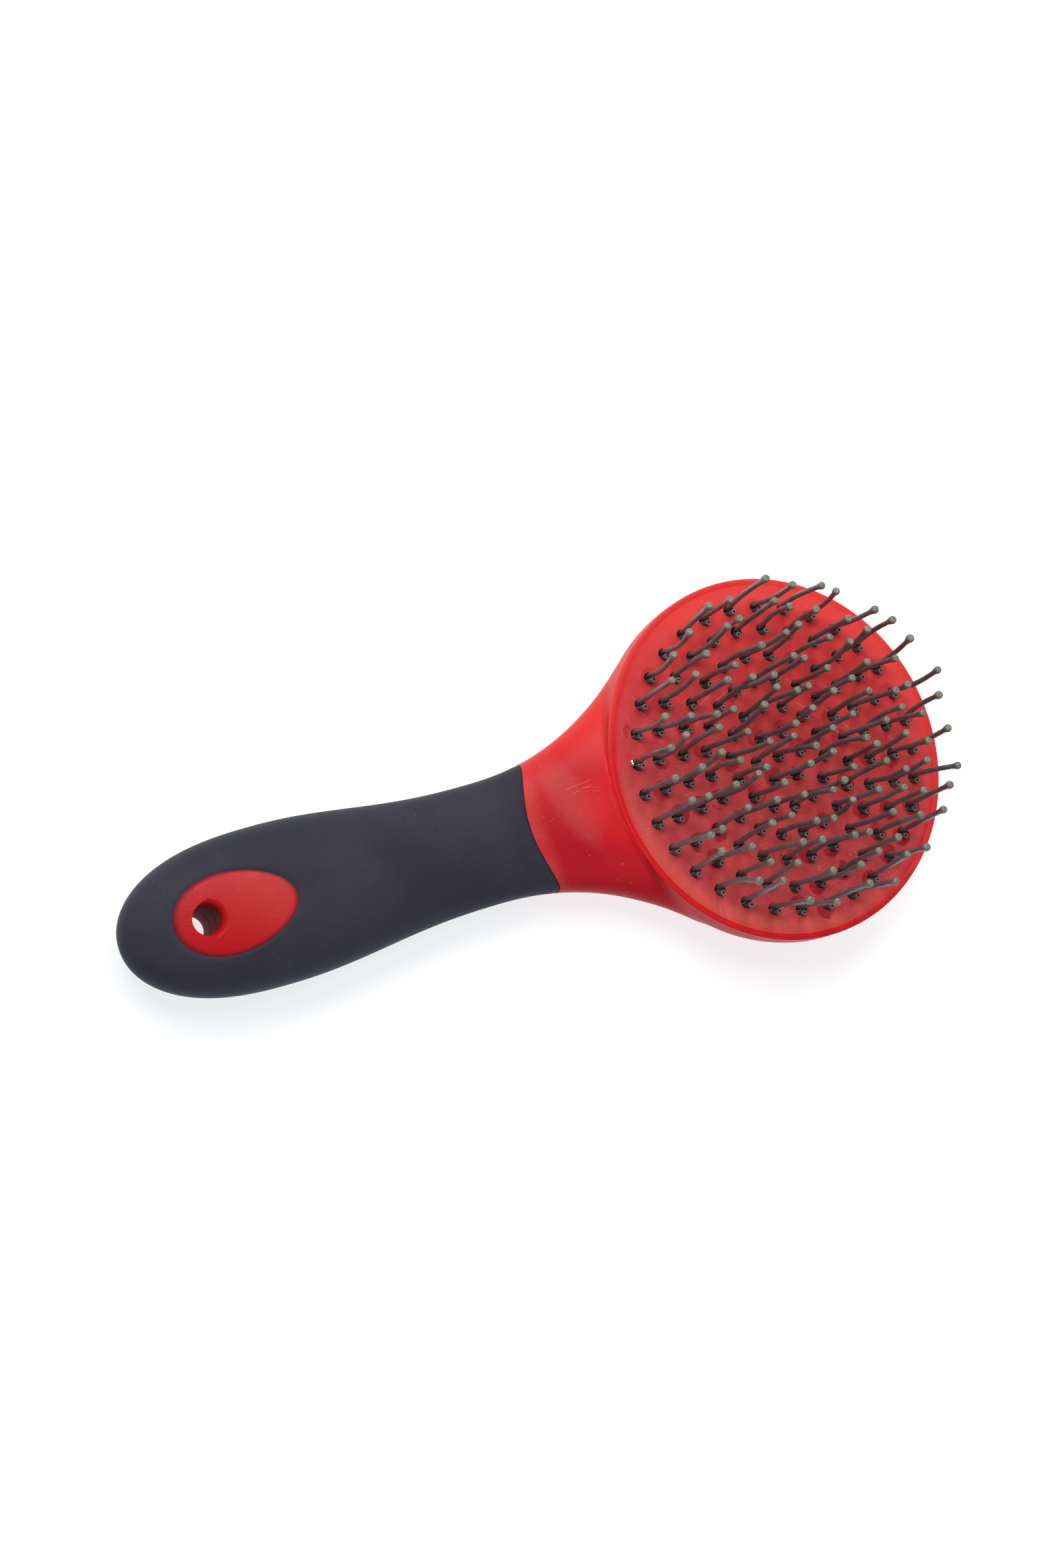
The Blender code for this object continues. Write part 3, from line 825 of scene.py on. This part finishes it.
rubbed = (
    scratches(red_plate, (-0.0260, -0.0285, 0), 1.3, 0.0070, 0.0040, 3)
    + scratches(red_plate, (0.0060, -0.0385, 0), 0.2, 0.0080, 0.0030, 4)
    + scratches(red_plate, (-0.0120, 0.0150, 0), 0.5, 0.0140, 0.0080, 4)
    + scratches(red_plate, (0.0150, 0.0080, 0), -0.9, 0.0240, 0.0060, 2)
)
lit_border = (y + x * 0.6).between(0.0, 0.032)
lit_border = lit_border * (spread.between(0.0340, 0.0385) * 0.7 + 0.3)
# Partly chalky dust and partly a painted highlight, on the border by the handle.
chalk_and_highlight = spread.between(0.0365, 0.0392) * (x * -0.6 - y).between(0.012, 0.040)

plate_tone = red_plate.blend(cloud, plate_deep, plate_bright)
plate_tone = red_plate.blend(lit_border * 0.9, plate_tone, lit_orange)
plate_tone = red_plate.blend(film * 0.75, plate_tone, film_pink)
plate_tone = red_plate.blend(chalk_and_highlight * 0.55, plate_tone, chalk_highlight_orange)
plate_tone = red_plate.blend(mark * 0.9, plate_tone, mark_red)
plate_tone = red_plate.blend(lint * 0.35, plate_tone, lint_pink)
plate_tone = red_plate.blend(rubbed * 0.24, plate_tone, scratch_pink)
peel = red_plate.grain(0.0012, detail=3.0)
plate_skin = peel * 0.5 + lint * 0.5 - rubbed * 0.5 - mark * 0.6
plate.data.materials.append(
    red_plate.use(
        Base_Color=plate_tone,
        Roughness=film * 0.16 + 0.30 + rubbed * 0.15 - mark * 0.1,
        Normal=red_plate.relief(plate_skin, 0.00005),
    )
)
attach(plate, "root")
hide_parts("face_plate")

# ---------------------------------------------------------------------------------------------
# Filaments. Nylon monofilament, about 1.25 mm thick, folded once in its hole. The long leg ends in
# a ball that was melted on, and the short one in a flat cut with a pinprick at its middle.

leg_radius = 0.00063
leg_spacing = 0.00136
tip_radius = 0.00095
filament_height = 0.0185
stub_height = 0.0017
root_depth = 0.0031
leg_sides = 14
leg_steps = 9
leg_taper = 0.06
lean_power = 1.3
most_lean = 0.0021
most_bow = 0.0009
stub_variation = 0.0006
cut_round = 0.00012
pinprick_rim = 0.00002
pinprick_step = 0.00003
pinprick_depth = 0.0007


def sweep(parts, path, radii, tips):
    """Adds a round rod along the path to parts, a dict of points, faces and tip shares."""
    start = len(parts["points"])
    side = Vector((1, 0, 0))
    heading = Vector((0, 0, 1))
    for i, (point, radius, tip) in enumerate(zip(path, radii, tips)):
        ahead = path[min(i + 1, len(path) - 1)] - path[max(i - 1, 0)]
        if ahead.normalized().dot(heading) > 0.5:
            heading = ahead.normalized()
        ahead = heading
        side = (side - ahead * side.dot(ahead)).normalized()
        up = ahead.cross(side)
        for k in range(leg_sides):
            angle = 2 * math.pi * k / leg_sides
            parts["points"].append(point + (side * math.cos(angle) + up * math.sin(angle)) * radius)
            parts["tips"].append(tip)
    for row in range(len(path) - 1):
        for k in range(leg_sides):
            a = start + row * leg_sides + k
            b = start + row * leg_sides + (k + 1) % leg_sides
            parts["faces"].append((a, b, b + leg_sides, a + leg_sides))
    last = start + (len(path) - 1) * leg_sides
    parts["faces"].append(tuple(start + k for k in range(leg_sides))[::-1])
    parts["faces"].append(tuple(last + k for k in range(leg_sides)))


def long_leg(parts, foot, lean, bow, height, chance):
    """The long leg: straight out of its hole, then bowed over to its melted ball."""
    path, radii, tips = [], [], []
    for i in range(leg_steps + 1):
        share = i / leg_steps
        rise = share * (height - 2 * tip_radius)
        drift = lean * share**lean_power + bow * math.sin(math.pi * share)
        path.append(foot + drift + Vector((0, 0, rise)))
        radii.append(leg_radius * (1 - leg_taper * share))
        tips.append(0.0)
    path.insert(0, foot - Vector((0, 0, root_depth)))
    radii.insert(0, leg_radius)
    tips.insert(0, 0.0)
    along = (path[-1] - path[-2]).normalized()
    leg_end = path[-1]
    ball = tip_radius * chance.uniform(0.93, 1.05)
    # Each row: distance past the leg's end and half width, both in ball radii, then the tip share.
    swell = [
        (-0.90, 0.68, 0.10),
        (-0.30, 0.74, 0.40),
        (0.25, 0.86, 0.80),
        (0.60, 0.96, 1.0),
        (0.90, 1.00, 1.0),
        (1.15, 0.98, 1.0),
        (1.38, 0.90, 1.0),
        (1.55, 0.76, 1.0),
        (1.65, 0.56, 1.0),
        (1.66, 0.34, 0.9),
        (1.62, 0.16, 0.8),
        (1.60, 0.03, 0.8),
    ]
    for ahead, wide, tip in swell:
        path.append(leg_end + along * ahead * ball)
        radii.append(wide * ball)
        tips.append(tip)
    sweep(parts, path, radii, tips)


def short_leg(parts, foot, lean, height):
    """The short leg: cut square, with its edge slightly rounded and a pinprick in the middle."""
    top = foot + lean + Vector((0, 0, height))
    along = (top - foot).normalized()
    path = [foot - Vector((0, 0, root_depth)), foot, foot.lerp(top, 0.6)]
    path += [top - along * cut_round, top, top + along * pinprick_rim]
    path += [top - along * pinprick_step, top - along * pinprick_depth]
    wide = [1, 1, 1, 1.10, 0.98, 0.40, 0.34, 0.25]
    radii = [leg_radius * share for share in wide]
    sweep(parts, path, radii, [0.0, 0.0, 0.0, 0.10, 0.30, 0.30, -1.0, -1.0])


nylon = Finish("grey_nylon", IOR=1.53, Specular_IOR_Level=0.75)
tip_share = nylon.noted("tip_share")
batch = nylon.noted("batch")
dark_shaft = (0.085, 0.083, 0.090, 1)
mid_shaft = (0.155, 0.151, 0.158, 1)
light_shaft = (0.170, 0.162, 0.162, 1)
dark_ball = (0.135, 0.131, 0.094, 1)
light_ball = (0.200, 0.196, 0.145, 1)
pinprick_shade = (0.012, 0.010, 0.010, 1)

# Each tuft is a slightly different grey, and the nylon turns olive where it was melted.
shaft_cloud = nylon.grain(0.004, detail=2.0).between(0.3, 0.7)
shaft_tone = nylon.blend(shaft_cloud, dark_shaft, mid_shaft)
shaft_tone = nylon.blend(batch * 0.5, shaft_tone, light_shaft)
ball_cloud = nylon.grain(0.0006, detail=2.0).between(0.3, 0.7)
ball_tone = nylon.blend(ball_cloud, dark_ball, light_ball)
drawn = nylon.grain(0.00025, detail=2.0, stretch=(1, 1, 0.06))
nylon_tone = nylon.blend(tip_share.between(0.0, 1.0), shaft_tone, ball_tone)
# The pinprick's inside is painted near black as shade.
nylon_tone = nylon.blend((-tip_share).between(0.0, 0.6), nylon_tone, pinprick_shade)
nylon_skin = nylon.use(
    Base_Color=nylon_tone,
    Roughness=tip_share * 0.20 + 0.26 + drawn * 0.06,
    Normal=nylon.relief(drawn, 0.00003),
)


def level(angle):
    """The level direction at this angle."""
    return Vector((math.cos(angle), math.sin(angle), 0))


sway = random.Random(7)
for number in range(len(tuft_rings)):
    ring_name = f"filament_ring_{number + 1}"
    parts = {"points": [], "faces": [], "tips": []}
    batches = []
    for place in ring_places(number):
        before = len(parts["points"])
        turn = sway.gauss(0, 0.22)
        apart = Vector((math.sin(turn), -math.cos(turn), 0)) * leg_spacing / 2
        middle = place + Vector((0, 0, head_depth))
        lean = level(sway.uniform(0, 2 * math.pi))
        lean *= most_lean * math.sqrt(sway.random())
        bow = level(sway.uniform(0, 2 * math.pi))
        bow *= most_bow * sway.random()
        height = filament_height + sway.uniform(-0.0008, 0.0003)
        long_leg(parts, middle - apart, lean, bow, height, sway)
        stub_lean = apart * sway.uniform(0.0, 0.5)
        stub = stub_height + sway.uniform(-stub_variation, stub_variation)
        short_leg(parts, middle + apart, stub_lean, stub)
        batches += [sway.random()] * (len(parts["points"]) - before)
    mesh = bpy.data.meshes.new(ring_name)
    mesh.from_pydata([tuple(point) for point in parts["points"]], [], parts["faces"])
    note(mesh, "tip_share", parts["tips"])
    note(mesh, "batch", batches)
    smooth(mesh, sharp=50)
    mesh.materials.append(nylon_skin)
    filaments = bpy.data.objects.new(ring_name, mesh)
    bpy.context.scene.collection.objects.link(filaments)
    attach(filaments, "root")
    ring_start = f"filaments_ring_{number + 1}_"
    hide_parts(*[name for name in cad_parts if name.startswith(ring_start)])

# ---------------------------------------------------------------------------------------------
# Anchors. A short piece of flat steel wire is driven into each hole across the fold of its
# filament. They sit well down in the holes, except for one that was left proud, with its two ends
# standing up beside the filament.

anchor_length = 0.0024
anchor_thickness = 0.00013
anchor_depth = 0.0020
anchor_sink = 0.0019
proud_anchor = (0, 31)
proud_shift = -0.00045
prong_lean = Vector((-0.35, 0.21, 0.91))
prong_radius = 0.00018
prong_length = 0.0018
prongs_middle = Vector((-0.00140, 0.00055, 0.0003))
prong_gap = 0.00052

anchors = bmesh.new()
for number in range(len(tuft_rings)):
    for i, place in enumerate(ring_places(number)):
        proud = (number, i) == proud_anchor
        top = plate_high.z - (0 if proud else anchor_sink)
        spot = (place.x + (proud_shift if proud else 0), place.y, top - anchor_depth / 2)
        made = bmesh.ops.create_cube(anchors, size=1.0)["verts"]
        bmesh.ops.scale(anchors, verts=made, vec=(anchor_length, anchor_thickness, anchor_depth))
        bmesh.ops.translate(anchors, verts=made, vec=spot)
        if not proud:
            continue
        sizes = {"radius1": prong_radius, "radius2": prong_radius, "depth": prong_length}
        tilt = prong_lean.to_track_quat("Z", "Y").to_matrix().to_4x4()
        for side in (-1, 1):
            prong = bmesh.ops.create_cone(anchors, cap_ends=True, segments=10, **sizes)["verts"]
            base = Vector((place.x, place.y, plate_high.z)) + prongs_middle
            base.y += side * prong_gap / 2
            bmesh.ops.transform(anchors, verts=prong, matrix=Matrix.Translation(base) @ tilt)
anchor_mesh = bpy.data.meshes.new("anchor_wires")
anchors.to_mesh(anchor_mesh)
anchors.free()
anchor_wires = bpy.data.objects.new("anchor_wires", anchor_mesh)
bpy.context.scene.collection.objects.link(anchor_wires)

steel = Finish("anchor_steel", Metallic=1.0)
dull_steel = (0.82, 0.82, 0.80, 1)
bright_steel = (0.95, 0.95, 0.93, 1)
wire_grain = steel.grain(0.0002, detail=2.0, stretch=(0.1, 1, 1))
anchor_mesh.materials.append(
    steel.use(
        Base_Color=steel.blend(wire_grain, dull_steel, bright_steel),
        Roughness=wire_grain * 0.15 + 0.18,
        Normal=steel.relief(wire_grain, 0.00001),
    )
)
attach(anchor_wires, "root")
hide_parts(*[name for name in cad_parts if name.startswith("filaments_ring_")])
